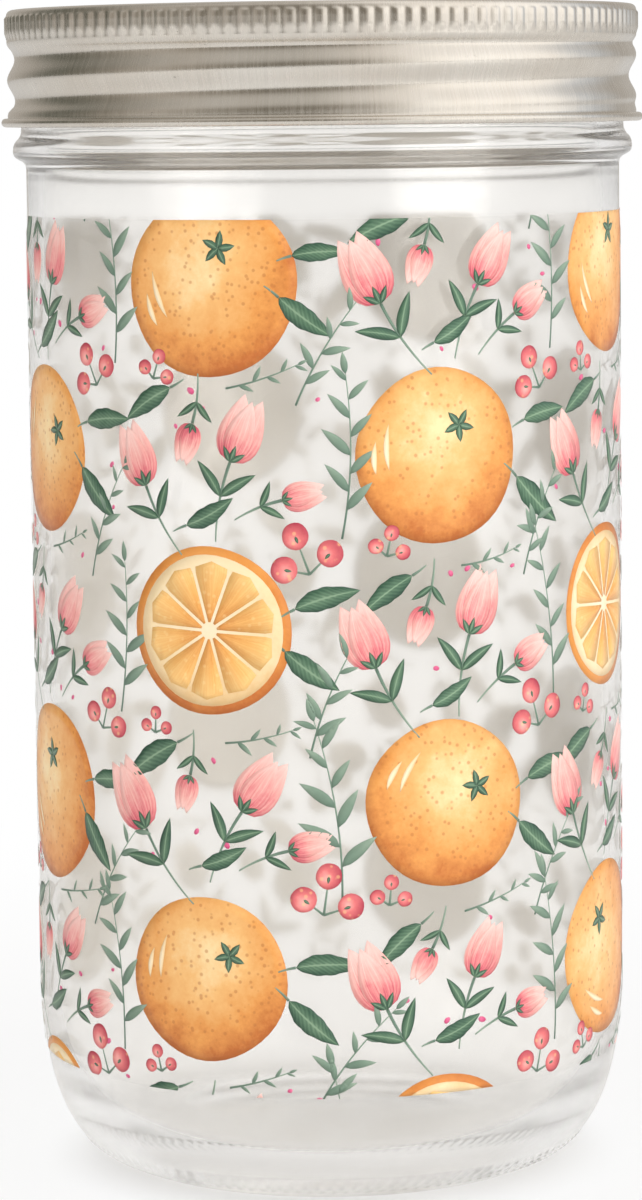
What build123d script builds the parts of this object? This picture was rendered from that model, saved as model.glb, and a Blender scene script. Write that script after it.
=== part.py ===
from build123d import *
import math
import os

# A glass starter jar with a printed film around its body, closed by a two-part lid: a flat
# disc with a sealing ring under its edge, and a knurled screw band that holds the disc down.
# Millimetres. The origin is the centre of the foot, on the surface that the jar stands on.
# +Z runs up the jar's axis, and -Y is the front. The thread is right-handed.

# Glass body
rim_height = 160.0
body_radius = 41.2
body_wall = 2.4
heel_height = 26.4
heel_fullness_share = 0.68
heel_inset = 15.1
foot_width = 3.0
push_up = 1.6
base_wall = 2.6
floor_inset = 3.6

# Neck, bead and mouth, with heights measured down from the rim
neck_swell = 0.6
neck_wall = 3.4
bead_swell = 1.2
bead_drop = 17.9
bead_upper_length = 3.2
bead_lower_length = 2.3
bead_softness_share = 0.62
mouth_drop = 15.0
mouth_taper_length = 7.0
rim_rounding = 1.1

# Thread, with heights measured down from the rim
thread_pitch = 5.7
thread_height = 0.95
thread_top_drop = 1.8
thread_bottom_drop = 13.0
thread_fade_length = 1.6
crest_drop = 6.9
sections_per_turn = 16

# Printed film
film_thickness = 0.15
film_bottom_height = 16.7
film_top_gap = 6.4

# Sealing ring
seal_thickness = 0.9
seal_width = 3.0

# Lid disc
disc_sheet = 0.25
disc_side_clearance = 0.55
disc_edge_length = 0.9
disc_edge_rounding = 0.7
panel_inset = 0.9
panel_drop = 0.6
panel_slope_length = 0.8
ring_inset = 8.5
ring_width = 2.4
ring_rise = 0.35

# Screw band
band_sheet = 0.3
band_thread_clearance = 0.55
band_seat_rise = 0.15
band_groove_depth = 1.05
band_disc_play = 0.05
band_flange_width = 6.4
band_corner_rounding = 1.2
knurl_length = 2.7
knurl_height = 0.25
knurl_lift = 0.03
knurl_count = 138
knurl_crest_share = 0.36
knurl_foot_share = 0.64
band_collar_length = 0.4
band_thread_length = 10.1
band_thread_fade = 1.3
curl_drop = 13.9
curl_radius = 0.6

# Shared overrun of cutting tools
overrun = 2.0

# Worked-out sizes of the glass
inner_radius = body_radius - body_wall
foot_radius = body_radius - heel_inset
floor_radius = foot_radius - floor_inset
neck_radius = body_radius + neck_swell
bead_radius = neck_radius + bead_swell
mouth_radius = neck_radius - neck_wall
floor_height = push_up + base_wall
bead_height = rim_height - bead_drop
bead_top = bead_height + bead_upper_length
bead_bottom = bead_height - bead_lower_length
thread_top = rim_height - thread_top_drop
thread_bottom = rim_height - thread_bottom_drop
crest_height = rim_height - crest_drop
film_length = bead_bottom - film_top_gap - film_bottom_height

# Worked-out sizes of the lid
disc_bottom = rim_height + seal_thickness
disc_top = disc_bottom + disc_sheet
flange_bottom = disc_top + band_disc_play
lid_top = flange_bottom + band_sheet
skirt_inner_radius = neck_radius + thread_height + band_thread_clearance
skirt_radius = skirt_inner_radius + band_sheet
knurl_root_radius = skirt_radius + knurl_lift
knurl_radius = knurl_root_radius + knurl_height
knurl_top = lid_top - band_corner_rounding
knurl_bottom = knurl_top - knurl_length
band_thread_top = knurl_bottom - band_collar_length
band_thread_bottom = band_thread_top - band_thread_length
curl_height = rim_height - curl_drop
opening_radius = skirt_radius - band_flange_width
disc_radius = skirt_inner_radius - disc_side_clearance
step_out = opening_radius - panel_inset
step_in = step_out - panel_slope_length
ring_radius = step_in - ring_inset
seal_radius = mouth_radius + seal_width


def at(radius, height):
    # A point of an outline: distance from the axis, and height
    return Vector(radius, 0, height)


def spun(*edges):
    # The solid that a closed outline sweeps round the axis
    return revolve(make_face(Curve() + list(edges)), Axis.Z)


def run(*points):
    # Straight edges from point to point
    return [Line(start, end) for start, end in zip(points, points[1:])]


def soft_step(start, end, softness_share):
    # An S-shaped edge that leaves and arrives parallel to the axis
    reach = softness_share * (end.Z - start.Z)
    return Bezier(start, start + at(0, reach), end - at(0, reach), end)


def heel(extra):
    # The round between foot and wall, upright at the wall and level at the foot
    low = at(foot_radius + extra, 0)
    high = at(body_radius + extra, heel_height)
    inward = heel_fullness_share * (body_radius - foot_radius)
    downward = heel_fullness_share * heel_height
    return Bezier(low, low + at(inward, 0), high - at(0, downward), high)


def fade(height, bottom, top, length):
    # 1 in the middle of a thread, easing to 0 at both of its ends
    nearest = min(height - bottom, top - height) / length
    share = max(0.0, min(1.0, nearest))
    return share * share * (3 - 2 * share)


def thread_core(bottom, top, valley_radius, height, crest_front_height, fade_length, fade_to_crest):
    # A threaded core. Each level section of a smooth single thread is a circle pushed off the
    # axis by half the thread's height, towards the crest, and that direction turns once per pitch.
    steps = math.ceil((top - bottom) / thread_pitch * sections_per_turn)
    circles = []
    for step in range(steps + 1):
        level = bottom + (top - bottom) * step / steps
        throw = height / 2 * fade(level, bottom, top, fade_length)
        radius = valley_radius + (height - throw if fade_to_crest else throw)
        turn = 2 * math.pi * (level - crest_front_height) / thread_pitch - math.pi / 2
        centre = Vector(throw * math.cos(turn), throw * math.sin(turn), level)
        circles.append(Plane(centre) * Circle(radius))
    return loft(circles)


def stacked(levels, *solids):
    # One solid from solids that stand on each other at these levels, without the faces between them
    faces = []
    for face in [face for solid in solids for face in solid.faces()]:
        between = any(math.isclose(face.center().Z, level) for level in levels)
        if not (between and face.geom_type == GeomType.PLANE):
            faces.append(face)
    return Solid(Shell(faces))


def make_glass_jar():
    foot_inner = at(foot_radius - foot_width, 0)
    dome_top = at(0, push_up)
    dome = TangentArc(dome_top, foot_inner, tangent=(1, 0, 0))
    body_top = at(body_radius, bead_bottom)
    crown = at(bead_radius, bead_height)
    neck_foot = at(neck_radius, bead_top)
    lower = spun(
        dome,
        *run(foot_inner, at(foot_radius, 0)),
        heel(0),
        *run(at(body_radius, heel_height), body_top),
        soft_step(body_top, crown, bead_softness_share),
        soft_step(crown, neck_foot, bead_softness_share),
        *run(neck_foot, at(neck_radius, thread_bottom), at(0, thread_bottom), dome_top),
    )
    threads = thread_core(
        thread_bottom, thread_top, neck_radius, thread_height, crest_height, thread_fade_length, False
    )
    rim_edge = at(neck_radius, rim_height - rim_rounding)
    rim_land = at(neck_radius - rim_rounding, rim_height)
    rim = spun(
        *run(at(0, thread_top), at(neck_radius, thread_top), rim_edge),
        TangentArc(rim_edge, rim_land, tangent=(0, 0, 1)),
        *run(rim_land, at(0, rim_height), at(0, thread_top)),
    )
    return stacked((thread_bottom, thread_top), lower, threads, rim) - make_cavity()


def make_cavity():
    floor_edge = at(floor_radius, floor_height)
    wall_foot = at(inner_radius, heel_height)
    inward = at(heel_fullness_share * (inner_radius - floor_radius), 0)
    downward = at(0, heel_fullness_share * (heel_height - floor_height))
    mouth_foot = at(mouth_radius, rim_height - mouth_drop)
    taper_foot = at(inner_radius, rim_height - mouth_drop - mouth_taper_length)
    rim_edge = at(mouth_radius, rim_height - rim_rounding)
    rim_land = at(mouth_radius + rim_rounding, rim_height)
    above = rim_height + overrun
    return spun(
        *run(at(0, floor_height), floor_edge),
        Bezier(floor_edge, floor_edge + inward, wall_foot - downward, wall_foot),
        *run(wall_foot, taper_foot),
        soft_step(taper_foot, mouth_foot, bead_softness_share),
        *run(mouth_foot, rim_edge),
        TangentArc(rim_edge, rim_land, tangent=(0, 0, 1)),
        *run(rim_land, at(mouth_radius + rim_rounding, above), at(0, above), at(0, floor_height)),
    )


def body_blank(extra):
    # The outside of the jar's body below the bead, grown by a thickness
    top = at(body_radius + extra, bead_bottom)
    return spun(
        *run(at(0, 0), at(foot_radius + extra, 0)),
        heel(extra),
        *run(at(body_radius + extra, heel_height), top, at(0, bead_bottom), at(0, 0)),
    )


def make_print_wrap():
    middle = Pos(0, 0, film_bottom_height + film_length / 2)
    band = middle * Cylinder(body_radius + overrun, film_length)
    return (body_blank(film_thickness) - body_blank(0)) & band


def make_sealing_ring():
    outer = Cylinder(seal_radius, seal_thickness)
    inner = Cylinder(mouth_radius, seal_thickness + overrun)
    return Pos(0, 0, rim_height + seal_thickness / 2) * (outer - inner)


def disc_surface(offset):
    # The disc's outline on one side, from the middle out: raised ring, panel step, land, rolled edge
    panel = disc_bottom - panel_drop + offset
    land = disc_bottom + offset
    ring_in = ring_radius - ring_width / 2
    ring_out = ring_radius + ring_width / 2
    bend = disc_edge_rounding + offset - disc_sheet
    edge_radius = disc_radius + offset - disc_sheet
    edge_start = at(edge_radius - bend, land)
    edge_end = at(edge_radius, land - bend)
    return [
        *run(at(0, panel), at(ring_in, panel)),
        ThreePointArc(at(ring_in, panel), at(ring_radius, panel + ring_rise), at(ring_out, panel)),
        *run(at(ring_out, panel), at(step_in, panel), at(step_out, land), edge_start),
        TangentArc(edge_start, edge_end, tangent=(1, 0, 0)),
        *run(edge_end, at(edge_radius, disc_bottom - disc_edge_length)),
    ]


def make_lid_disc():
    hem = disc_bottom - disc_edge_length
    under = disc_bottom - panel_drop
    return spun(
        *disc_surface(disc_sheet),
        *disc_surface(0),
        *run(at(disc_radius - disc_sheet, hem), at(disc_radius, hem)),
        *run(at(0, under), at(0, under + disc_sheet)),
    )


def make_knurls():
    # Upright ribs round the band below its top corner, rooted in the middle of the sheet
    pitch = 2 * math.pi / knurl_count
    feet_and_crests = (
        (-knurl_foot_share / 2, knurl_root_radius),
        (-knurl_crest_share / 2, knurl_radius),
        (knurl_crest_share / 2, knurl_radius),
        (knurl_foot_share / 2, knurl_root_radius),
    )
    points = []
    for rib in range(knurl_count):
        for share, radius in feet_and_crests:
            turn = (rib + share) * pitch
            points.append((radius * math.cos(turn), radius * math.sin(turn)))
    outline = make_face(Polyline(*points, close=True)) - Circle(skirt_radius - band_sheet / 2)
    return Pos(0, 0, knurl_bottom) * extrude(outline, knurl_length)


def make_band_top():
    # The plain wall behind the knurls, the round corner and the flange that holds the disc down
    corner = at(skirt_radius, knurl_top)
    crown = at(skirt_radius - band_corner_rounding, lid_top)
    inner_corner = at(skirt_inner_radius, knurl_top)
    inner_crown = at(skirt_radius - band_corner_rounding, flange_bottom)
    return spun(
        TangentArc(corner, crown, tangent=(0, 0, 1)),
        *run(crown, at(opening_radius, lid_top), at(opening_radius, flange_bottom), inner_crown),
        TangentArc(inner_corner, inner_crown, tangent=(0, 0, 1)),
        *run(inner_corner, at(skirt_inner_radius, band_thread_top)),
        *run(at(skirt_inner_radius, band_thread_top), at(skirt_radius, band_thread_top), corner),
    )


def make_band_curl():
    # The outward curl that hides the sheet's lower edge
    middle_radius = skirt_inner_radius + curl_radius
    wall_middle = skirt_inner_radius + band_sheet / 2
    wall_height = band_thread_bottom - curl_height
    upright = Pos(wall_middle, curl_height + wall_height / 2) * Rectangle(band_sheet, wall_height)
    bead = Pos(middle_radius, curl_height) * Circle(curl_radius)
    return revolve(Plane.XZ * (upright + bead), Axis.Z)


def make_screw_band():
    # The threaded stretch of the wall lies between two cores, one sheet apart
    levels = (band_thread_bottom, band_thread_top)
    valley = skirt_radius - band_groove_depth
    shape = (band_groove_depth, crest_height + band_seat_rise, band_thread_fade, True)
    outside = thread_core(*levels, valley, *shape)
    inside = thread_core(*levels, valley - band_sheet, *shape)
    upper = make_band_top() + make_knurls()
    return stacked(levels, make_band_curl(), outside, inside, upper)


pieces = {
    "glass_jar": make_glass_jar(),
    "print_wrap": make_print_wrap(),
    "sealing_ring": make_sealing_ring(),
    "lid_disc": make_lid_disc(),
    "screw_band": make_screw_band(),
}

os.makedirs("parts", exist_ok=True)
for name, piece in pieces.items():
    piece.label = name
    export_step(piece, f"parts/{name}.step")
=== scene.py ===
import math
import random

import bmesh
import bpy
from mathutils import Matrix, Vector


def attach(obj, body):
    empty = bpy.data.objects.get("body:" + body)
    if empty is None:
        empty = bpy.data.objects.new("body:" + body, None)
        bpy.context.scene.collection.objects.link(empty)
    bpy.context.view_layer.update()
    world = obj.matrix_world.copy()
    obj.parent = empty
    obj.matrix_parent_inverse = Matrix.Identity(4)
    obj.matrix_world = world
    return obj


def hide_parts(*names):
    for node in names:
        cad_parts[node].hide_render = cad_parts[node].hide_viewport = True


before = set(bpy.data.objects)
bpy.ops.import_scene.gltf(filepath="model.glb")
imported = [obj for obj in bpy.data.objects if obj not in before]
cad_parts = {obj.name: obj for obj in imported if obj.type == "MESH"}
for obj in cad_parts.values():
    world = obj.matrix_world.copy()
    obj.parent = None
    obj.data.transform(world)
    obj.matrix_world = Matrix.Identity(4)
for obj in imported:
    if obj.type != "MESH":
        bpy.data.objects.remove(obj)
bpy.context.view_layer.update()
mm = 0.001

# the camera stands where the jar's outline says it stood
camera = {
    "distance": 586.6, "height": 148.6, "tiltDown": 6.79, "roll": -0.634,
    "lens": 125.66, "slide": -0.00537,
    "near": 0.01, "far": 20.0,
}

# clear pressed glass, in mm; heights from the foot
jar = {
    "sectors": 16, "steps": 24, "wallSpacing": 9.0, "neckSpacing": 0.8, "threadSpacing": 0.35,
    "heelSteps": 40, "hollowSteps": 20, "pushUpSteps": 12, "beadSteps": 7, "taperSteps": 6, "rimSteps": 5,
    "rim": 160.0, "bodyRadius": 41.2, "innerRadius": 38.8, "heelTop": 26.4, "fullness": 0.68,
    "footRadius": 26.1, "footWidth": 3.0, "pushUp": 1.6, "floorRadius": 22.5, "floorHeight": 4.2,
    "beadRadius": 43.0, "beadHeight": 142.1, "beadTop": 145.3, "beadBottom": 139.8, "softness": 0.62,
    "neckRadius": 41.8, "mouthRadius": 38.4, "mouthFoot": 145.0, "taperFoot": 138.0, "rimRound": 1.1,
    "threadBottom": 147.0, "threadTop": 158.2, "threadHeight": 0.95, "threadFade": 1.6,
    "crest": 153.1, "pitch": 5.7,
    "dots": 128, "dotRows": (11, 13, 15), "dotHeight": 0.28,
    "tint": (0.955, 0.945, 0.928), "ior": 1.5, "insideHaze": 0.12,
    "waves": (60, 60, 18), "grain": 900, "hazePatches": 45,
}

# the screw band, in mm
band = {
    "ribs": 138, "sectors": 23, "steps": 36, "cornerSteps": 6, "curlSteps": 12,
    "inner": 43.3, "outer": 43.6, "opening": 37.2, "top": 161.5,
    "sheet": 0.3, "corner": 0.8, "nose": 0.08,
    "knurlTop": 160.7, "knurlBottom": 157.4, "knurlHeight": 0.27, "knurlFade": 0.9, "knurlTopFade": 0.3,
    "rowsUnderTop": (0.12, 0.35, 1.1, 1.8), "rowsOverBottom": (0.9, 0.6, 0.3, 0.0),
    "threadTop": 157.2, "threadBottom": 147.1, "grooveDepth": 1.05, "threadFade": 1.3, "crest": 153.25,
    "curlHeight": 146.1, "curlRadius": 0.6, "curlJoin": 0.62,
    "steel": {
        "bright": (224, 219, 211), "warm": (212, 204, 193), "streak": 110.0,
        "roughness": 0.25, "scuffs": 0.8,
    },
}

# the flat disc and the ring under its edge, in mm
disc = {
    "sectors": 16, "steps": 10, "radius": 42.75, "bottom": 160.9, "sheet": 0.25,
    "edge": 0.9, "bend": 0.7, "stepOut": 36.3, "stepIn": 35.5, "stepFlat": 0.4, "panelDrop": 0.6,
    "ringRadius": 27.0, "ringWidth": 2.4, "ringRise": 0.35, "ringSteps": 10,
    "steel": {
        "bright": (226, 222, 216), "warm": (216, 211, 204), "streak": 110.0,
        "roughness": 0.24, "scuffs": 0.3,
    },
}
seal = {
    "sectors": 16, "steps": 8,
    "inner": 38.4, "outer": 41.4, "bottom": 160.0, "top": 160.9, "round": 0.25,
}

# the printed band round the body, in mm
printBand = {
    "bottom": 16.7, "top": 133.4, "skin": 41.35, "thickness": 0.1, "ink": 0.008,
    "levels": (20.0, 23.0, 26.4, 60.0, 100.0),
    "columns": 8, "firstRow": -1, "rows": 5, "drop": 46.7, "rise": 9.0, "seed": 41,
}
# how high above the skin each layer of ink lies, in mm
layers = {
    "fleck": 0.015, "stem": 0.02, "peel": 0.02, "leaf": 0.025, "sprigLeaf": 0.03, "sidePetal": 0.03,
    "stemLeaf": 0.04, "berry": 0.04, "pith": 0.045, "mark": 0.05, "petal": 0.055, "calyx": 0.065,
    "pulp": 0.07, "sepal": 0.075,
}


def newObject(name, bm, materials, smooth=True):
    mesh = bpy.data.meshes.new(name)
    bm.to_mesh(mesh)
    bm.free()
    for material in materials:
        mesh.materials.append(material)
    for face in mesh.polygons:
        face.use_smooth = smooth
    obj = bpy.data.objects.new(name, mesh)
    bpy.context.scene.collection.objects.link(obj)
    return obj


def bezier(a, b, c, d, t):
    u = 1 - t
    return u**3 * a + 3 * u * u * t * b + 3 * u * t * t * c + t**3 * d


def curvePoints(points, count):
    # points along a Bezier through four controls, without the first
    return [tuple(bezier(*four, i / count) for four in zip(*points)) for i in range(1, count + 1)]


def arcPoints(centre, radius, start, end, count):
    # points of an arc, without the first; angles in degrees
    angles = [math.radians(start + (end - start) * i / count) for i in range(1, count + 1)]
    return [(centre[0] + radius * math.cos(a), centre[1] + radius * math.sin(a)) for a in angles]


def softStep(low, high, count):
    # an S-shaped step between two radii of the glass
    reach = jar["softness"] * (high[1] - low[1])
    return curvePoints((low, (low[0], low[1] + reach), (high[0], high[1] - reach), high), count)


def upTo(start, end, spacing):
    # evenly spaced points of a straight run, without the first
    count = max(1, round(math.dist(start, end) / spacing))
    return [tuple(s + (e - s) * i / count for s, e in zip(start, end)) for i in range(1, count + 1)]


def spinOutline(points, sectors, steps, closed):
    # one sector is spun from the outline, then repeated round the axis
    mergeReach = 0.000004
    bm = bmesh.new()
    verts = [bm.verts.new((0, -r * mm, z * mm)) for r, z in points]
    pairs = list(zip(verts, verts[1:])) + ([(verts[-1], verts[0])] if closed else [])
    edges = [bm.edges.new(pair) for pair in pairs]
    turn = {"cent": (0, 0, 0), "axis": (0, 0, 1), "dvec": (0, 0, 0)}
    bmesh.ops.spin(bm, geom=verts + edges, angle=math.tau / sectors, steps=steps,
                   use_duplicate=False, **turn)
    sector = bm.verts[:] + bm.edges[:] + bm.faces[:]
    bmesh.ops.spin(bm, geom=sector, angle=math.tau * (sectors - 1) / sectors, steps=sectors - 1,
                   use_duplicate=True, **turn)
    bmesh.ops.remove_doubles(bm, verts=bm.verts, dist=mergeReach)
    bmesh.ops.recalc_face_normals(bm, faces=bm.faces)
    return bm


def threadFade(height, bottom, top, length):
    # a thread rises from nothing at both ends of its stretch
    share = max(0.0, min(1.0, min(height - bottom, top - height) / length))
    return share * share * (3 - 2 * share)


def aroundFront(v):
    # angle round the axis, zero at the front, growing to the right
    return math.atan2(v.co.x, -v.co.y)


def moveOut(v, amount):
    # away from the axis, in mm
    radius = math.hypot(v.co.x, v.co.y)
    grown = (radius + amount * mm) / radius
    v.co.x *= grown
    v.co.y *= grown


class Nodes:
    # a node tree with short calls
    def __init__(self, tree):
        self.tree = tree
        tree.nodes.clear()

    def add(self, kind, settings=None, **inputs):
        node = self.tree.nodes.new("ShaderNode" + kind)
        for key, value in (settings or {}).items():
            setattr(node, key, value)
        for key, value in inputs.items():
            numbered = key[0] == "i" and key[1:].isdigit()
            socket = node.inputs[int(key[1:]) if numbered else key.replace("_", " ")]
            if isinstance(value, bpy.types.NodeSocket):
                self.tree.links.new(value, socket)
            else:
                socket.default_value = value
        return node

    def math(self, operation, a, b=0.0, clamp=False):
        return self.add("Math", {"operation": operation, "use_clamp": clamp}, i0=a, i1=b).outputs[0]

    def mapRange(self, value, low, high, toLow=0.0, toHigh=1.0, smooth=False):
        kind = "SMOOTHSTEP" if smooth else "LINEAR"
        return self.add("MapRange", {"interpolation_type": kind, "clamp": True},
                        i0=value, i1=low, i2=high, i3=toLow, i4=toHigh).outputs[0]

    def length(self, x, y):
        squares = self.math("ADD", self.math("MULTIPLY", x, x), self.math("MULTIPLY", y, y))
        return self.math("SQRT", squares)

    def vary(self, value, noise, reach, clamp=False):
        # a value moved up and down by a noise
        swing = self.math("MULTIPLY", self.math("SUBTRACT", noise, 0.5), reach)
        return self.math("ADD", value, swing, clamp)

    def join(self, x, y, z):
        return self.add("CombineXYZ", None, X=x, Y=y, Z=z).outputs[0]

    def mixColor(self, factor, a, b, blend="MIX"):
        settings = {"data_type": "RGBA", "blend_type": blend, "clamp_factor": True}
        return self.add("Mix", settings, i0=factor, i6=a, i7=b).outputs[2]

    def noise(self, vector, scale, detail=2.0, roughness=0.5):
        texture = self.add("TexNoise", None, Vector=vector, Scale=scale, Detail=detail,
                           Roughness=roughness)
        return texture.outputs["Fac"]

    def ramp(self, value, stops):
        node = self.add("ValToRGB", None, Fac=value)
        elements = node.color_ramp.elements
        while len(elements) < len(stops):
            elements.new(0.5)
        for element, (place, color) in zip(elements, stops):
            element.position = place
            element.color = (*color, 1.0)
        return node.outputs["Color"]

    def mapping(self, vector, scale):
        return self.add("Mapping", None, Vector=vector, Scale=scale).outputs[0]

    def bump(self, height, strength, distance):
        return self.add("Bump", None, Height=height, Strength=strength, Distance=distance).outputs[0]


def linear(r, g, b):
    # a display colour from 0 to 255 as the shader's own numbers
    shares = (r / 255, g / 255, b / 255)
    return tuple(c / 12.92 if c <= 0.04045 else ((c + 0.055) / 1.055) ** 2.4 for c in shares)


def rgba(r, g, b):
    return (*linear(r, g, b), 1.0)


def newMaterial(name):
    material = bpy.data.materials.new(name)
    material.use_nodes = True
    return material, Nodes(material.node_tree)


def makeGlass(name, haze):
    # clear with a warm grey cast and faint pressing waves
    material, n = newMaterial(name)
    where = n.add("TexCoord").outputs["Object"]
    waves = n.noise(n.mapping(where, jar["waves"]), 1.0, 2.0)
    height = n.math("ADD", waves, n.math("MULTIPLY", n.noise(where, jar["grain"], 2.0), 0.02))
    patches = n.noise(where, jar["hazePatches"], 3.0)
    rough = n.mapRange(patches, 0.35, 0.75, haze, haze + 0.04)
    glass = n.add("BsdfPrincipled", None, Base_Color=(*jar["tint"], 1.0), Roughness=rough, IOR=jar["ior"],
                  Transmission_Weight=1.0, Normal=n.bump(height, 0.12, 0.0004))
    n.add("OutputMaterial", None, Surface=glass.outputs[0])
    return material


def makeSteel(name, s):
    # satin tinplate: upright brushing on the wall, round brushing on level faces
    material, n = newMaterial(name)
    where = n.add("TexCoord").outputs["Object"]
    x, y, z = n.add("SeparateXYZ", None, Vector=where).outputs
    radius = n.length(x, y)
    turned = n.join(n.math("DIVIDE", x, radius), n.math("DIVIDE", y, radius), n.math("MULTIPLY", z, 0.6))
    upright = n.noise(turned, s["streak"], 3.0, 0.6)
    around = n.join(n.math("MULTIPLY", radius, 2600.0),
                    n.math("MULTIPLY", x, 30.0), n.math("MULTIPLY", y, 30.0))
    rings = n.noise(around, 1.0, 3.0, 0.6)
    facing = n.add("SeparateXYZ", None, Vector=n.add("NewGeometry").outputs["Normal"]).outputs[2]
    level = n.mapRange(n.math("ABSOLUTE", facing), 0.6, 0.9)
    grain = n.add("Mix", {"data_type": "FLOAT"}, i0=level, i2=upright, i3=rings).outputs[0]
    cloud = n.noise(where, 55, 4.0, 0.55)
    tone = n.mixColor(n.mapRange(cloud, 0.35, 0.7), rgba(*s["bright"]), rgba(*s["warm"]))
    shade = n.mapRange(grain, 0.3, 0.7, 0.92, 1.05)
    tone = n.mixColor(1.0, tone, n.join(shade, shade, shade), "MULTIPLY")
    marks = n.noise(n.mapping(where, (420, 420, 900)), 1.0, 4.0, 0.7)
    worn = n.math("MULTIPLY", n.mapRange(marks, 0.68, 0.76), s["scuffs"], clamp=True)
    dull = rgba(116, 108, 100)
    tone = n.mixColor(worn, tone, dull)
    satin = n.mapRange(grain, 0.3, 0.7, s["roughness"] - 0.05, s["roughness"] + 0.07)
    rough = n.math("ADD", satin, n.math("MULTIPLY", worn, 0.2))
    steel = n.add("BsdfPrincipled", None, Base_Color=tone, Metallic=1.0, Roughness=rough,
                  Normal=n.bump(grain, 0.12, 0.00004))
    n.add("OutputMaterial", None, Surface=steel.outputs[0])
    return material


def makeCompound():
    # the soft ring under the disc: matt, faintly mottled
    material, n = newMaterial("sealCompound")
    where = n.add("TexCoord").outputs["Object"]
    mottle = n.noise(where, 380, 4.0, 0.6)
    tone = n.ramp(mottle, [(0.3, linear(196, 184, 164)), (0.7, linear(216, 206, 188))])
    rough = n.mapRange(mottle, 0.3, 0.7, 0.45, 0.6)
    body = n.add("BsdfPrincipled", None, Base_Color=tone, Roughness=rough,
                 Normal=n.bump(mottle, 0.2, 0.0001), Subsurface_Weight=0.05)
    n.add("OutputMaterial", None, Surface=body.outputs[0])
    return material


def makeFilm():
    # the clear skin that carries the ink: a trace of white haze, soft gloss
    material, n = newMaterial("clearFilm")
    where = n.add("TexCoord").outputs["Object"]
    haze = n.mapRange(n.noise(where, 60, 4.0, 0.6), 0.3, 0.7, 0.02, 0.07)
    film = n.add("BsdfPrincipled", None, Base_Color=rgba(246, 241, 234), Roughness=0.18, Alpha=haze,
                 Normal=n.bump(n.noise(where, 240, 2.0), 0.1, 0.0002))
    n.add("OutputMaterial", None, Surface=film.outputs[0])
    return material


def makeUnderprint():
    # the pale coat under the ink, as it is seen through the jar from behind
    material, n = newMaterial("inkUnderprint")
    where = n.add("TexCoord").outputs["Object"]
    tone = n.ramp(n.noise(where, 120, 3.0), [(0.3, linear(236, 231, 222)), (0.7, linear(246, 242, 235))])
    coat = n.add("BsdfPrincipled", None, Base_Color=tone, Roughness=0.5)
    n.add("OutputMaterial", None, Surface=coat.outputs[0])
    return material


def makeInk(name, kind, stops, fleck):
    # watercolour-like ink: a wash along or across the motif, pooled pigment, fine grain
    material, n = newMaterial(name)
    where = n.add("TexCoord").outputs["Object"]
    flat = n.add("TexCoord").outputs["UV"]
    along, side, _ = n.add("SeparateXYZ", None, Vector=flat).outputs
    across = n.math("ABSOLUTE", n.math("SUBTRACT", side, 0.5))
    pool = n.noise(where, 260, 4.0, 0.6)
    grain = n.noise(where, 1400, 3.0, 0.7)
    if kind == "round":                                  # from a lit spot up left to the lower right edge
        wash = n.length(n.math("SUBTRACT", along, 0.4), n.math("SUBTRACT", side, 0.6))
        wash = n.math("MULTIPLY", wash, 1.55)
    elif kind == "petal":                                # streaks from the base outwards
        lines = n.noise(n.mapping(flat, (1.2, 16, 1)), 1.0, 2.0)
        wash = n.math("SUBTRACT", 1.0, n.vary(along, lines, 1.3))
    elif kind == "leaf":                                 # dark edges, a paler midrib and side veins
        rib = n.mapRange(across, 0.0, 0.06, 0.55, 0.0, smooth=True)
        veins = n.add("TexWave", {"wave_type": "BANDS", "bands_direction": "DIAGONAL"},
                      Vector=n.mapping(flat, (7, 3, 1)), Scale=1.0, Distortion=1.5).outputs["Fac"]
        wash = n.math("ADD", n.math("MULTIPLY", across, 1.1), n.math("MULTIPLY", veins, 0.22))
        wash = n.math("ADD", n.math("SUBTRACT", wash, rib), 0.2)
    else:
        wash = along
    wash = n.vary(n.vary(wash, pool, 0.7), grain, 0.25, clamp=True)
    tone = n.ramp(wash, [(place, linear(*color)) for place, color in stops])
    if fleck:
        strength, dark = fleck
        dots = n.add("TexVoronoi", {"feature": "F1"}, Vector=where, Scale=900.0).outputs["Distance"]
        spots = n.math("MULTIPLY", n.mapRange(dots, 0.16, 0.28, 1.0, 0.0), strength)
        tone = n.mixColor(spots, tone, rgba(*dark))
    rough = n.mapRange(pool, 0.3, 0.7, 0.28, 0.4)
    ink = n.add("BsdfPrincipled", None, Base_Color=tone, Roughness=rough,
                Normal=n.bump(grain, 0.15, 0.00005))
    n.add("OutputMaterial", None, Surface=ink.outputs[0])
    return material


clearGlass = makeGlass("clearGlass", 0.0)
insideGlass = makeGlass("clearGlassInside", jar["insideHaze"])
bandSteel = makeSteel("bandSteel", band["steel"])
discSteel = makeSteel("discSteel", disc["steel"])
sealCompound = makeCompound()
clearFilm = makeFilm()
underprint = makeUnderprint()
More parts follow.
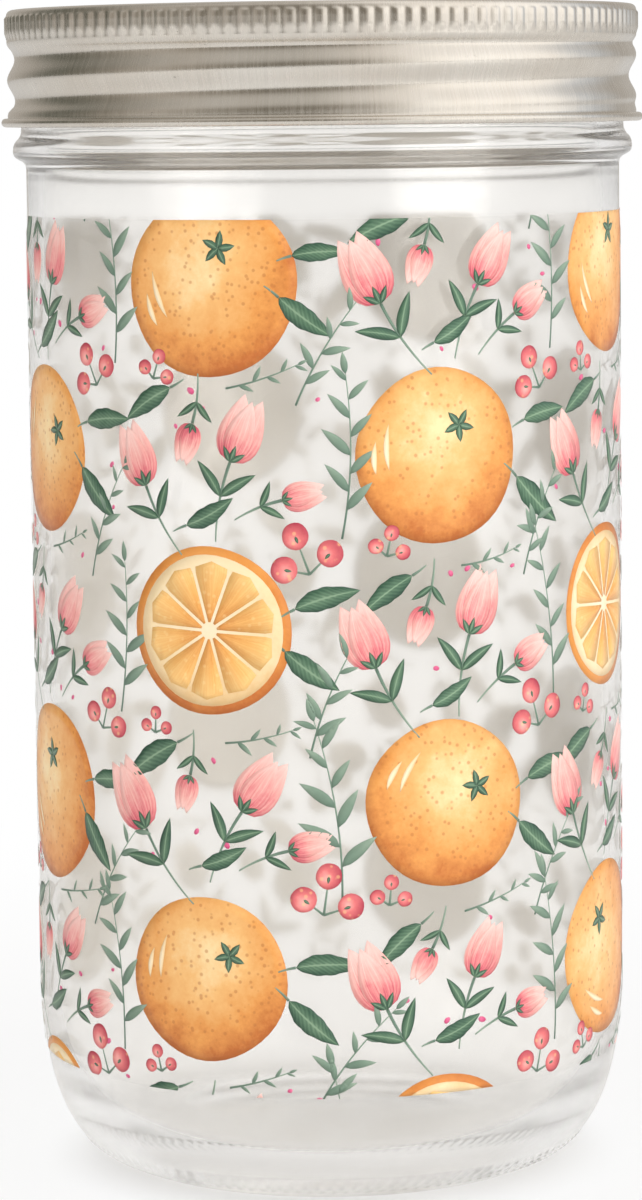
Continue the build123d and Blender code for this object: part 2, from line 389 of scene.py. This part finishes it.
# each ink: the way its wash runs, its tones from light to dark, and flecks with their strength
inkTones = {
    "fruit": (
        "round",
        [(0.0, (250, 222, 168)), (0.35, (242, 188, 118)), (0.7, (228, 154, 78)), (1.0, (192, 106, 44))],
        (0.5, (186, 108, 52)),
    ),
    "rind": ("round", [(0.0, (240, 178, 98)), (0.6, (226, 148, 70)), (1.0, (196, 108, 44))], None),
    "pith": ("round", [(0.0, (252, 236, 204)), (0.6, (247, 222, 178)), (1.0, (236, 198, 142))], None),
    "pulp": (
        "petal",
        [(0.0, (246, 200, 128)), (0.5, (240, 180, 102)), (1.0, (222, 146, 70))],
        (0.3, (252, 220, 160)),
    ),
    "leaf": (
        "leaf",
        [(0.0, (132, 160, 132)), (0.35, (92, 124, 98)), (0.75, (58, 92, 72)), (1.0, (42, 72, 58))],
        None,
    ),
    "sprig": ("plain", [(0.0, (96, 122, 106)), (0.5, (120, 144, 126)), (1.0, (146, 166, 148))], None),
    "petal": (
        "petal",
        [(0.0, (250, 208, 200)), (0.4, (243, 178, 170)), (0.75, (228, 128, 132)), (1.0, (206, 84, 104))],
        None,
    ),
    "berry": (
        "round",
        [(0.0, (246, 176, 168)), (0.45, (226, 116, 118)), (1.0, (176, 56, 76))],
        (0.4, (250, 214, 150)),
    ),
    "fleck": ("plain", [(0.0, (216, 74, 128)), (1.0, (232, 120, 158))], None),
}
inks = {name: makeInk("ink" + name.capitalize(), *tones) for name, tones in inkTones.items()}
print("materials ready")


def heelControls():
    # the rounded heel, from the foot up to the straight wall
    foot, body, full, top = jar["footRadius"], jar["bodyRadius"], jar["fullness"], jar["heelTop"]
    return (foot, 0), (foot + full * (body - foot), 0), (body, top * (1 - full)), (body, top)


heelRadii, heelHeights = zip(*heelControls())


def skinRadius(height):
    # the skin follows the glass into the top of the heel
    if height >= jar["heelTop"]:
        return printBand["skin"]
    low, high = 0.0, 1.0
    for _ in range(40):                                  # halve the stretch that holds the height
        middle = (low + high) / 2
        if bezier(*heelHeights, middle) < height:
            low = middle
        else:
            high = middle
    return bezier(*heelRadii, low) + printBand["skin"] - jar["bodyRadius"]


def jarOutline():
    # half of the jar's cut, from the middle of the foot, up the outside and down the inside
    foot, body, inner = jar["footRadius"], jar["bodyRadius"], jar["innerRadius"]
    neck, mouth, bead = jar["neckRadius"], jar["mouthRadius"], jar["beadRadius"]
    rim, curve, heelTop = jar["rim"], jar["rimRound"], jar["heelTop"]
    floor, floorEdge = jar["floorHeight"], jar["floorRadius"]
    dip = foot - jar["footWidth"]
    wall, steps, rimSteps = jar["wallSpacing"], jar["beadSteps"], jar["rimSteps"]
    points = [(0.0, jar["pushUp"])]
    for i in range(1, jar["pushUpSteps"] + 1):           # the push-up under the floor
        r = dip * i / jar["pushUpSteps"]
        points.append((r, jar["pushUp"] * (1 - (r / dip) ** 2)))
    points += upTo((dip, 0), (foot, 0), 0.75)
    points += curvePoints(heelControls(), jar["heelSteps"])
    points += upTo((body, heelTop), (body, jar["beadBottom"]), wall)
    points += softStep((body, jar["beadBottom"]), (bead, jar["beadHeight"]), steps)
    points += softStep((bead, jar["beadHeight"]), (neck, jar["beadTop"]), steps)
    points += upTo((neck, jar["beadTop"]), (neck, jar["threadBottom"]), jar["neckSpacing"])
    points += upTo((neck, jar["threadBottom"]), (neck, jar["threadTop"]), jar["threadSpacing"])
    points.append((neck, rim - curve))
    points += arcPoints((neck - curve, rim - curve), curve, 0, 90, rimSteps)
    points += upTo((neck - curve, rim), (mouth + curve, rim), 0.6)
    points += arcPoints((mouth + curve, rim - curve), curve, 90, 180, rimSteps)
    points += upTo((mouth, rim - curve), (mouth, jar["mouthFoot"]), wall / 2)
    points += softStep((mouth, jar["mouthFoot"]), (inner, jar["taperFoot"]), jar["taperSteps"])
    points += upTo((inner, jar["taperFoot"]), (inner, heelTop), wall)
    fall, inward = jar["fullness"] * (heelTop - floor), jar["fullness"] * (inner - floorEdge)
    hollow = ((inner, heelTop), (inner, heelTop - fall), (floorEdge + inward, floor), (floorEdge, floor))
    points += curvePoints(hollow, jar["hollowSteps"])
    return points + upTo((floorEdge, floor), (0.0, floor), 3.0)


def makeJar():
    bm = spinOutline(jarOutline(), jar["sectors"], jar["steps"], closed=False)
    bottom, top = jar["threadBottom"], jar["threadTop"]
    outer = [v for v in bm.verts if math.hypot(v.co.x, v.co.y) > (jar["neckRadius"] - 0.05) * mm]
    for v in outer:                                      # one turn of thread is a circle off its centre
        z = v.co.z / mm
        if bottom <= z <= top:
            turn = math.tau * (z - jar["crest"]) / jar["pitch"]
            swell = jar["threadHeight"] / 2 * threadFade(z, bottom, top, jar["threadFade"])
            moveOut(v, swell * (1 + math.cos(aroundFront(v) - turn)))
    heelCurve = curvePoints(heelControls(), jar["heelSteps"])
    stipple = {round(heelCurve[i - 1][1], 3): i for i in jar["dotRows"]}
    for v in bm.verts:                                   # rows of small dots round the heel, near the foot
        row = stipple.get(round(v.co.z / mm, 3))
        if row and math.hypot(v.co.x, v.co.y) > jar["footRadius"] * mm:
            shift = math.tau / 3 if row % 4 == 1 else 0
            moveOut(v, jar["dotHeight"] * max(0.0, math.cos(jar["dots"] * aroundFront(v) + shift)))
    for face in bm.faces:                                # the inside was pressed on a duller plunger
        spot = face.calc_center_median() / mm
        inside = min(skinRadius(spot.z) - 1.0, jar["innerRadius"] + 0.1)
        if spot.z > jar["floorHeight"] - 0.1 and math.hypot(spot.x, spot.y) < inside:
            face.material_index = 1
    return newObject("glassJar", bm, [clearGlass, insideGlass])


glassJar = makeJar()
glassJar.visible_shadow = False                          # lamps reach the inside through the clear glass
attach(glassJar, "jar")
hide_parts("glass_jar")
print("glass jar", len(glassJar.data.polygons))


def bandOutline():
    # the sheet's cut: round the flange's edge, down the outside, round the curl and up the inside
    b = band
    crown, under, sheet = b["outer"] - b["corner"], b["top"] - b["sheet"], b["sheet"]
    inner, outer, opening, nose = b["inner"], b["outer"], b["opening"], b["nose"]
    low, high = b["knurlBottom"], b["knurlTop"]
    points = [(opening, under + nose), (opening, b["top"] - nose), (opening + nose, b["top"])]
    points += upTo((opening + nose, b["top"]), (crown, b["top"]), 1.8)
    points += arcPoints((crown, b["top"] - b["corner"]), b["corner"], 90, 0, b["cornerSteps"])
    points += [(outer, high - drop) for drop in b["rowsUnderTop"]]
    points += [(outer, low + rise) for rise in b["rowsOverBottom"]]
    points += upTo((outer, low), (outer, b["threadTop"]), 0.4)
    points += upTo((outer, b["threadTop"]), (outer, b["threadBottom"]), 0.4)
    points += upTo((outer, b["threadBottom"]), (outer, b["curlHeight"] + b["curlJoin"]), 0.3)
    curl = (inner + b["curlRadius"], b["curlHeight"])
    points += arcPoints(curl, b["curlRadius"], 100, -180, b["curlSteps"])
    points += upTo((inner, b["curlHeight"]), (inner, b["threadBottom"]), 0.8)
    points += upTo((inner, b["threadBottom"]), (inner, b["threadTop"]), 0.8)
    points += upTo((inner, b["threadTop"]), (inner, high), 1.5)
    points += arcPoints((crown, b["top"] - b["corner"]), b["corner"] - sheet, 0, 90, 3)
    return points + upTo((crown, under), (opening + nose, under), 3.0)


def makeBand():
    b = band
    bottom, top = b["threadBottom"], b["threadTop"]
    bm = spinOutline(bandOutline(), b["sectors"], b["steps"], closed=True)
    for v in bm.verts:
        z = v.co.z / mm
        radius = math.hypot(v.co.x, v.co.y) / mm
        if b["knurlBottom"] < z < b["knurlTop"] and radius > b["outer"] - 0.02:
            rib = 0.5 + 0.5 * math.cos(b["ribs"] * aroundFront(v))
            rise = (z - b["knurlBottom"]) / b["knurlFade"]
            fall = (b["knurlTop"] - z) / b["knurlTopFade"]
            moveOut(v, b["knurlHeight"] * min(1.0, rise, fall) * min(1.0, 1.25 * rib))
        if bottom <= z <= top and radius > b["inner"] - 0.02:
            turn = math.tau * (z - b["crest"]) / jar["pitch"]
            depth = b["grooveDepth"] / 2 * threadFade(z, bottom, top, b["threadFade"])
            moveOut(v, -depth * (1 - math.cos(aroundFront(v) - turn)))
    return newObject("screwBand", bm, [bandSteel])


screwBand = makeBand()
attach(screwBand, "band")
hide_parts("screw_band")
print("screw band", len(screwBand.data.polygons))


def discSide(offset):
    # one side of the disc's cut, from the middle out to the turned-down edge
    d = disc
    panel, land = d["bottom"] - d["panelDrop"] + offset, d["bottom"] + offset
    bend = d["bend"] + offset - d["sheet"]
    edge = d["radius"] + offset - d["sheet"]
    points = [(0.0, panel)] + upTo((0.0, panel), (d["ringRadius"] - d["ringWidth"] / 2, panel), 5.0)
    for i in range(1, d["ringSteps"] + 1):               # the raised ring
        x = -1 + 2 * i / d["ringSteps"]
        rise = d["ringRise"] * (0.5 + 0.5 * math.cos(math.pi * x))
        points.append((d["ringRadius"] + x * d["ringWidth"] / 2, panel + rise))
    points += upTo(points[-1], (d["stepIn"] - d["stepFlat"], panel), 3.0)
    step = (points[-1], (d["stepIn"], panel), (d["stepOut"], land), (d["stepOut"] + d["stepFlat"], land))
    points += curvePoints(step, 7)
    points += upTo(points[-1], (edge - bend, land), 1.5)
    points += arcPoints((edge - bend, land - bend), bend, 90, 0, 5)
    points.append((edge, d["bottom"] - d["edge"]))
    return points


discOutline = discSide(disc["sheet"]) + discSide(0)[::-1]
discMesh = spinOutline(discOutline, disc["sectors"], disc["steps"], closed=False)
lidDisc = newObject("lidDisc", discMesh, [discSteel])
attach(lidDisc, "disc")
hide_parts("lid_disc")


def sealOutline():
    # a flat ring's cut with its four edges rounded
    out, inward = seal["outer"] - seal["round"], seal["inner"] + seal["round"]
    high, low = seal["top"] - seal["round"], seal["bottom"] + seal["round"]
    corners = (((out, high), 90), ((out, low), 0), ((inward, low), -90), ((inward, high), -180))
    points = []
    for centre, start in corners:
        points += arcPoints(centre, seal["round"], start, start, 1)
        points += arcPoints(centre, seal["round"], start, start - 90, 4)
    return points


sealMesh = spinOutline(sealOutline(), seal["sectors"], seal["steps"], closed=True)
sealRing = newObject("sealRing", sealMesh, [sealCompound])
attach(sealRing, "disc")
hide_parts("sealing_ring")
print("lid disc and sealing ring")


def makeFilmSkin():
    heights = (printBand["bottom"], *printBand["levels"], printBand["top"])
    outline = [(skinRadius(z) - printBand["thickness"], z) for z in heights[::-1]]
    outline += [(skinRadius(z), z) for z in heights]
    bm = spinOutline(outline, jar["sectors"], jar["steps"], closed=True)
    return newObject("filmSkin", bm, [clearFilm])


filmSkin = makeFilmSkin()
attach(filmSkin, "jar")
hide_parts("print_wrap")


class Sheet:
    # ink shapes laid out flat in mm, x along the skin and y up, then wrapped round the jar
    def __init__(self, *inkNames):
        self.inkNames = inkNames
        self.whole = bmesh.new()
        self.whole.loops.layers.uv.new("motif")
        self.startCell()

    def startCell(self):
        self.bm = bmesh.new()
        self.uv = self.bm.loops.layers.uv.new("motif")

    def endCell(self):
        # small cells keep the mesh operators quick
        mesh = bpy.data.meshes.new("cell")
        self.bm.to_mesh(mesh)
        self.bm.free()
        self.whole.from_mesh(mesh)
        bpy.data.meshes.remove(mesh)
        self.startCell()

    def patch(self, cells, shape, place, heading, layer, ink):
        # a grid bent by shape, which gives each spot's place and its place in the wash
        columns, rows = cells
        made = bmesh.ops.create_grid(self.bm, x_segments=columns, y_segments=rows, size=0.5)["verts"]
        turn = Matrix.Rotation(math.radians(heading), 2)
        faces = {f for v in made for f in v.link_faces}
        spots = {v: shape(v.co.x + 0.5, v.co.y * 2) for v in made}
        for face in faces:
            face.material_index = 2 * self.inkNames.index(ink)
            for loop in face.loops:
                loop[self.uv].uv = spots[loop.vert][1]
        for v in made:
            x, y = turn @ Vector(spots[v][0])
            v.co = (place[0] + x, place[1] + y, layers[layer])
        return made

    def disc(self, place, radius, layer, ink, wobble, phase, cells, heading, squeeze=1.0):
        def shape(u, v):
            a, r = math.tau * u, (v + 1) / 2
            uneven = 1 + wobble * math.sin(2 * a + phase) + wobble * 0.6 * math.sin(5 * a + 2 * phase)
            out = radius * r * uneven
            spot = (0.5 + 0.5 * r * math.cos(a), 0.5 + 0.5 * r * math.sin(a))
            return (out * math.cos(a), out * squeeze * math.sin(a)), spot
        made = self.patch(cells, shape, place, heading, layer, ink)
        bmesh.ops.remove_doubles(self.bm, verts=made, dist=0.001)

    def blade(self, place, heading, length, width, layer, ink,
              bend=0.0, fat=0.8, cells=(8, 2), teeth=0.0):
        def shape(u, v):
            half = width / 2 * math.sin(math.pi * u**fat) ** 0.85 if 0 < u < 1 else 0.0
            half *= 1 + teeth * math.sin(u * 26)
            return (length * u, v * half + bend * length * u * u), (u, 0.5 + 0.5 * v)
        made = self.patch(cells, shape, place, heading, layer, ink)
        bmesh.ops.remove_doubles(self.bm, verts=made, dist=0.001)

    def line(self, place, heading, length, width, layer, ink, bend=0.0, cells=10):
        def shape(u, v):
            half = width / 2 * (1 - 0.5 * u)
            return (length * u, v * half + bend * length * u * u), (u, 0.5 + 0.5 * v)
        self.patch((cells, 1), shape, place, heading, layer, ink)

    def wrap(self, name):
        # faces turned up, cut straight at the print's edges, rolled round the jar and coated at the back
        bm = self.whole
        bm.normal_update()
        bmesh.ops.reverse_faces(bm, faces=[f for f in bm.faces if f.normal.z < 0])
        for height, keep in ((printBand["top"], 1), (printBand["bottom"], -1)):
            bmesh.ops.bisect_plane(bm, geom=bm.verts[:] + bm.edges[:] + bm.faces[:], dist=0.0001,
                                   plane_co=(0, height, 0), plane_no=(0, keep, 0), clear_outer=True)
        for v in bm.verts:
            angle = v.co.x / printBand["skin"]
            radius = skinRadius(v.co.y) + v.co.z
            v.co = (radius * math.sin(angle) * mm, -radius * math.cos(angle) * mm, v.co.y * mm)
        obj = newObject(name, bm, [m for key in self.inkNames for m in (inks[key], underprint)])
        coat = obj.modifiers.new("coat", "SOLIDIFY")
        coat.thickness = printBand["ink"] * mm
        coat.offset = -1.0
        coat.material_offset = 1
        coat.material_offset_rim = 0
        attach(obj, "jar")
        return obj


def spotAt(place, heading, far):
    a = math.radians(heading)
    return (place[0] + far * math.cos(a), place[1] + far * math.sin(a))


def bentSpot(place, heading, length, bend, share):
    # a point on a bent line, and the line's heading there
    a = math.radians(heading)
    x, y = length * share, bend * length * share * share
    slope = math.degrees(math.atan2(2 * bend * share, 1))
    across, up = x * math.cos(a) - y * math.sin(a), x * math.sin(a) + y * math.cos(a)
    return (place[0] + across, place[1] + up), heading + slope


def drawFruit(sheets, place, radius, heading):
    sheet = sheets["fruits"]
    sheet.disc(place, radius, "peel", "fruit", 0.012, heading, (48, 7), heading - 90)
    stalk = spotAt(place, heading, radius * 0.42)
    for turn in range(0, 360, 72):                       # the little star where the stalk was
        sheets["leaves"].blade(stalk, heading + turn, radius * 0.2, radius * 0.09, "mark", "leaf",
                               0.1, 0.8, (4, 2))
    for arc in (0.62, 0.78):                             # pale strokes where the light catches the peel
        start = spotAt(place, heading + 140, radius * arc)
        sheet.blade(start, heading + 50, radius * (1.15 - arc), radius * 0.07, "mark", "pith",
                    -0.25, 1.0, (7, 2))


def drawSlice(sheets, place, radius, heading):
    sheet = sheets["fruits"]
    sheet.disc(place, radius, "peel", "rind", 0.008, heading, (48, 7), heading - 90)
    sheet.disc(place, radius * 0.9, "pith", "pith", 0.008, heading, (44, 6), heading - 90)
    wedges = 10

    def shape(u, v):
        # a wedge from near the middle, rounded at its outer end
        r = radius * (0.1 + 0.72 * u)
        half = r * math.tan(math.pi / wedges) - radius * 0.02
        half *= math.sqrt(max(0.0, 1 - max(0.0, (u - 0.82) / 0.18) ** 2))
        return (r, v * max(0.0, half)), (u, 0.5 + 0.5 * v)

    for i in range(wedges):
        made = sheet.patch((9, 2), shape, place, heading + 360 * i / wedges, "pulp", "pulp")
        bmesh.ops.remove_doubles(sheet.bm, verts=made, dist=0.001)


def drawTulip(sheets, place, heading, size):
    blooms, leaves = sheets["blooms"], sheets["leaves"]
    leaves.line(place, heading + 180, size * 1.15, 0.45, "stem", "sprig", 0.18)
    spot, way = bentSpot(place, heading + 180, size * 1.15, 0.18, 0.45)
    for side in (-1, 1):
        blooms.blade(place, heading + side * 17, size, size * 0.5, "sidePetal", "petal",
                     side * -0.16, 0.72, (9, 4))
        leaves.blade(spot, way + 180 + side * 38, size * 0.62, size * 0.17, "stemLeaf", "leaf",
                     side * 0.15)
    blooms.blade(place, heading, size * 0.94, size * 0.44, "petal", "petal", 0.0, 0.72, (9, 4))
    for side in (-1, 0, 1):
        leaves.blade(place, heading + side * 42, size * 0.26, size * 0.09, "sepal", "leaf",
                     0.0, 0.8, (4, 2))


def drawBerries(sheets, place, heading, size):
    blooms, leaves = sheets["blooms"], sheets["leaves"]
    for turn, far in ((-50, 0.9), (15, 1.25), (75, 0.8)):
        way = heading + turn
        spot = spotAt(place, way, size * far)
        leaves.line(place, way, size * far, 0.35, "stem", "sprig", 0.0, 6)
        blooms.disc(spot, size * 0.42, "berry", "berry", 0.02, turn, (20, 3), way)
        leaves.blade(spot, way + 180, size * 0.24, size * 0.1, "calyx", "leaf", 0.0, 0.8, (4, 2))


def drawSprig(sheets, place, heading, length, bend, leaves, draw):
    sheet = sheets["leaves"]
    sheet.line(place, heading, length, 0.3, "stem", "sprig", bend, 14)
    for i in range(leaves):
        share = 0.18 + 0.78 * i / (leaves - 1)
        spot, way = bentSpot(place, heading, length, bend, share)
        side = 1 if i % 2 else -1
        size = length * (0.26 - 0.1 * share) * draw.uniform(0.8, 1.2)
        spread = side * draw.uniform(26, 48)
        sheet.blade(spot, way + spread, size, size * 0.27, "sprigLeaf", "sprig",
                    side * 0.14, 0.8, (6, 2))
    spot, way = bentSpot(place, heading, length, bend, 1.0)
    sheet.blade(spot, way, length * 0.14, length * 0.045, "sprigLeaf", "sprig", 0.0, 0.8, (6, 2))


def drawLeaf(sheets, place, heading, length, bend):
    sheet = sheets["leaves"]
    sheet.blade(place, heading, length, length * 0.34, "leaf", "leaf", bend, 0.82, (14, 4), 0.05)
    sheet.line(place, heading + 180, length * 0.28, 0.4, "stem", "sprig", 0.1, 4)


def drawCell(sheets, x, y, sliced, draw):
    # the motifs round one fruit, each a little off its place, size and heading at random
    def near(right, up, reach=1.0):
        return (x + right + draw.uniform(-reach, reach), y + up + draw.uniform(-reach, reach))

    def about(value, reach=1.0):
        return value + draw.uniform(-reach, reach)

    centre = near(0, 0)
    tilt = draw.uniform(20, 160)
    if sliced:
        drawSlice(sheets, centre, about(10.9, 0.5), tilt)
    else:
        drawFruit(sheets, centre, about(11.6, 0.5), tilt)
    drawTulip(sheets, near(-9.5, 19.0), about(118, 10), about(9.6, 0.8))
    drawTulip(sheets, near(4.0, 22.5), about(62, 10), about(8.8, 0.8))
    drawBerries(sheets, near(14.5, 8.5), about(80, 25), about(3.9, 0.4))
    drawSprig(sheets, near(-14.6, -11.0), about(84, 6), about(22, 2), about(0.14, 0.05), 8, draw)
    drawSprig(sheets, near(13.0, -17.0), about(70, 8), about(17, 1.5), about(-0.2, 0.05), 7, draw)
    drawLeaf(sheets, near(11.0, -2.5), about(-52, 10), about(9.5), 0.12)
    drawLeaf(sheets, near(12.0, 3.0), about(18, 10), about(8.0), -0.15)
    drawLeaf(sheets, near(-5.0, -15.0), about(205, 10), about(9.0), 0.15)
    drawLeaf(sheets, near(-2.0, 14.5), about(20, 8), about(7.5), 0.2)
    drawTulip(sheets, near(10.4, 17.6, 0.6), about(20, 12), about(6.4, 0.5))
    drawBerries(sheets, near(-8.0, -13.4, 0.5), about(75, 20), about(2.3, 0.2))
    drawSprig(sheets, near(2.6, -14.2, 0.6), about(4, 8), about(9.5), about(0.12, 0.05), 5, draw)
    drawTulip(sheets, near(-2.4, -19.4, 0.6), about(250, 14), about(5.4, 0.4))
    for _ in range(6):
        spot = (x + draw.uniform(-16, 16), y + draw.uniform(12.5, 33))
        size, phase, heading = draw.uniform(0.35, 0.62), draw.uniform(0, 6), draw.uniform(0, 180)
        sheets["flecks"].disc(spot, size, "fleck", "fleck", 0.05, phase, (8, 1), heading, 0.7)


def printJar():
    draw = random.Random(printBand["seed"])
    sheets = {
        "fruits": Sheet("fruit", "rind", "pith", "pulp"), "blooms": Sheet("petal", "berry"),
        "leaves": Sheet("leaf", "sprig"), "flecks": Sheet("fleck"),
    }
    step = math.tau * printBand["skin"] / printBand["columns"]
    first = printBand["firstRow"]
    for column in range(printBand["columns"]):           # every second column is half a row off
        for row in range(first, first + printBand["rows"]):
            up = printBand["rise"] + (row + 0.5 * (column % 2)) * printBand["drop"]
            drawCell(sheets, (column + 0.5) * step, up, (column + 2 * row) % 3 == 0, draw)
            for sheet in sheets.values():
                sheet.endCell()
    for key, sheet in sheets.items():
        made = sheet.wrap("ink" + key.capitalize())
        print(made.name, len(made.data.polygons))


printJar()
print("printed band")


# the floor fades from white twice: from and to so many metres from the axis, and the least share there;
# near the jar and most under it the lit floor shows, so its real shadow shows, and it is also greyed there
# by place alone, a painted shade
floorLook = {
    "size": 4.0, "drop": 0.00005, "glossShare": 0.3,
    "shadow": (0.05, 0.28, 0.84), "shadeUnderJar": (0.029, 0.042, 0.36),
}


def makeFloor():
    # white to the camera, and through or in the glass and metal, but it keeps the jar's shadow, and under
    # and round the jar it is darkened further by distance from the axis as painted shade
    bm = bmesh.new()
    bmesh.ops.create_grid(bm, x_segments=1, y_segments=1, size=floorLook["size"])
    bmesh.ops.translate(bm, verts=bm.verts, vec=(0, 0, -floorLook["drop"]))
    material, n = newMaterial("paleFloor")
    path = n.add("LightPath")
    seen = n.math("ADD", path.outputs["Is Camera Ray"], path.outputs["Is Transmission Ray"])
    mirrored = n.math("MULTIPLY", path.outputs["Is Glossy Ray"], floorLook["glossShare"])
    seen = n.math("ADD", seen, mirrored, clamp=True)
    where = n.add("TexCoord").outputs["Object"]
    tone = n.ramp(n.noise(where, 30, 3.0), [(0.3, (0.86, 0.855, 0.845)), (0.7, (0.88, 0.875, 0.865))])
    plain = n.add("BsdfDiffuse", None, Color=tone).outputs[0]
    white = n.add("Emission", None, Color=(1, 1, 1, 1), Strength=1.0).outputs[0]
    x, y, _ = n.add("SeparateXYZ", None, Vector=where).outputs
    away = n.length(x, y)
    # less white near and under the jar: partly the floor's real shadow showing, partly painted shade set
    # by distance alone
    shares = [n.mapRange(away, near, far, least, 1.0, smooth=True)
              for near, far, least in (floorLook["shadow"], floorLook["shadeUnderJar"])]
    whiteShare = n.math("MULTIPLY", *shares)
    mixed = n.add("MixShader", None, Fac=n.math("MULTIPLY", seen, whiteShare), i1=plain, i2=white)
    n.add("OutputMaterial", None, Surface=mixed.outputs[0])
    newObject("floor", bm, [material], smooth=False)


# the room: what metal and glass mirror of it goes by the angle from the camera's side to the right
studio = {
    "walls": [
        (-180, (0.60, 0.57, 0.53)), (-145, (0.50, 0.465, 0.42)), (-118, (0.13, 0.135, 0.11)),
        (-92, (0.24, 0.225, 0.19)), (-66, (0.52, 0.48, 0.43)), (-40, (0.34, 0.31, 0.265)),
        (-14, (0.20, 0.18, 0.145)), (12, (0.36, 0.33, 0.285)), (42, (1.40, 1.37, 1.32)),
        (92, (1.42, 1.40, 1.37)), (114, (0.72, 0.78, 0.86)), (140, (0.50, 0.47, 0.43)),
        (180, (0.60, 0.57, 0.53)),
    ],
    "ceiling": [
        (-180, (0.80, 0.77, 0.73)), (-118, (0.40, 0.385, 0.35)), (-60, (0.62, 0.59, 0.55)),
        (-10, (0.58, 0.555, 0.515)), (45, (1.15, 1.12, 1.08)), (95, (1.15, 1.13, 1.10)),
        (140, (0.70, 0.67, 0.63)), (180, (0.80, 0.77, 0.73)),
    ],
    "ceilingFrom": 0.35, "ceilingFull": 0.9,
    "fill": (1.0, 0.985, 0.965, 1.0), "fillStrength": 0.62,
    "aim": (0, 0, 0.08),
}


def makeWorld():
    world = bpy.data.worlds.new("studio")
    bpy.context.scene.world = world
    world.use_nodes = True
    n = Nodes(world.node_tree)
    path = n.add("LightPath")
    way = n.add("TexCoord").outputs["Generated"]
    x, y, z = n.add("SeparateXYZ", None, Vector=way).outputs
    azimuth = n.math("ARCTAN2", x, n.math("MULTIPLY", y, -1.0))
    share = n.mapRange(azimuth, -math.pi, math.pi)
    walls, ceiling = (n.ramp(share, [((degrees + 180) / 360, shade) for degrees, shade in studio[key]])
                      for key in ("walls", "ceiling"))
    height = n.mapRange(z, studio["ceilingFrom"], studio["ceilingFull"], smooth=True)
    room = n.mixColor(height, walls, ceiling)
    shine = n.add("Background", None, Color=room, Strength=1.0).outputs[0]
    fill = n.add("Background", None, Color=studio["fill"], Strength=studio["fillStrength"]).outputs[0]
    white = n.add("Background", None, Color=(1, 1, 1, 1), Strength=1.0).outputs[0]
    lit = n.add("MixShader", None, Fac=path.outputs["Is Glossy Ray"], i1=fill, i2=shine).outputs[0]
    straight = n.math("ADD", path.outputs["Is Camera Ray"], path.outputs["Is Transmission Ray"],
                      clamp=True)
    out = n.add("MixShader", None, Fac=straight, i1=lit, i2=white)
    n.add("OutputWorld", None, Surface=out.outputs[0])


def addSoftbox(name, place, size, power, color):
    lamp = bpy.data.lights.new(name, "AREA")
    lamp.shape = "RECTANGLE"
    lamp.size, lamp.size_y = size
    lamp.energy = power
    lamp.color = color
    obj = bpy.data.objects.new(name, lamp)
    obj.location = place
    away = Vector(studio["aim"]) - Vector(place)
    obj.rotation_euler = away.to_track_quat("-Z", "Y").to_euler()
    obj.visible_camera = False
    obj.visible_glossy = False                           # the walls above are what shines in the metal
    bpy.context.scene.collection.objects.link(obj)


makeFloor()
makeWorld()
addSoftbox("windowRight", place=(0.75, -0.7, 0.45), size=(0.8, 1.0), power=9.0, color=(1.0, 0.99, 0.97))
addSoftbox("fillLeft", place=(-0.8, -0.6, 0.3), size=(0.6, 0.8), power=3.0, color=(1.0, 0.97, 0.94))

eye = bpy.data.objects.new("camera", bpy.data.cameras.new("camera"))
eye.data.lens = camera["lens"]
eye.data.shift_x = camera["slide"]
eye.data.clip_start, eye.data.clip_end = camera["near"], camera["far"]
eye.location = (0, -camera["distance"] * mm, camera["height"] * mm)
pitchDown = Matrix.Rotation(math.radians(90 - camera["tiltDown"]), 3, "X")
eye.rotation_euler = (pitchDown @ Matrix.Rotation(math.radians(camera["roll"]), 3, "Z")).to_euler()
bpy.context.scene.collection.objects.link(eye)
bpy.context.scene.camera = eye
bpy.context.scene.view_settings.view_transform = "Standard"
# light crosses many glass faces before it leaves the jar
paths = bpy.context.scene.cycles
paths.max_bounces = paths.transmission_bounces = 64
paths.glossy_bounces = 48
paths.transparent_max_bounces = 32
print("stage ready")
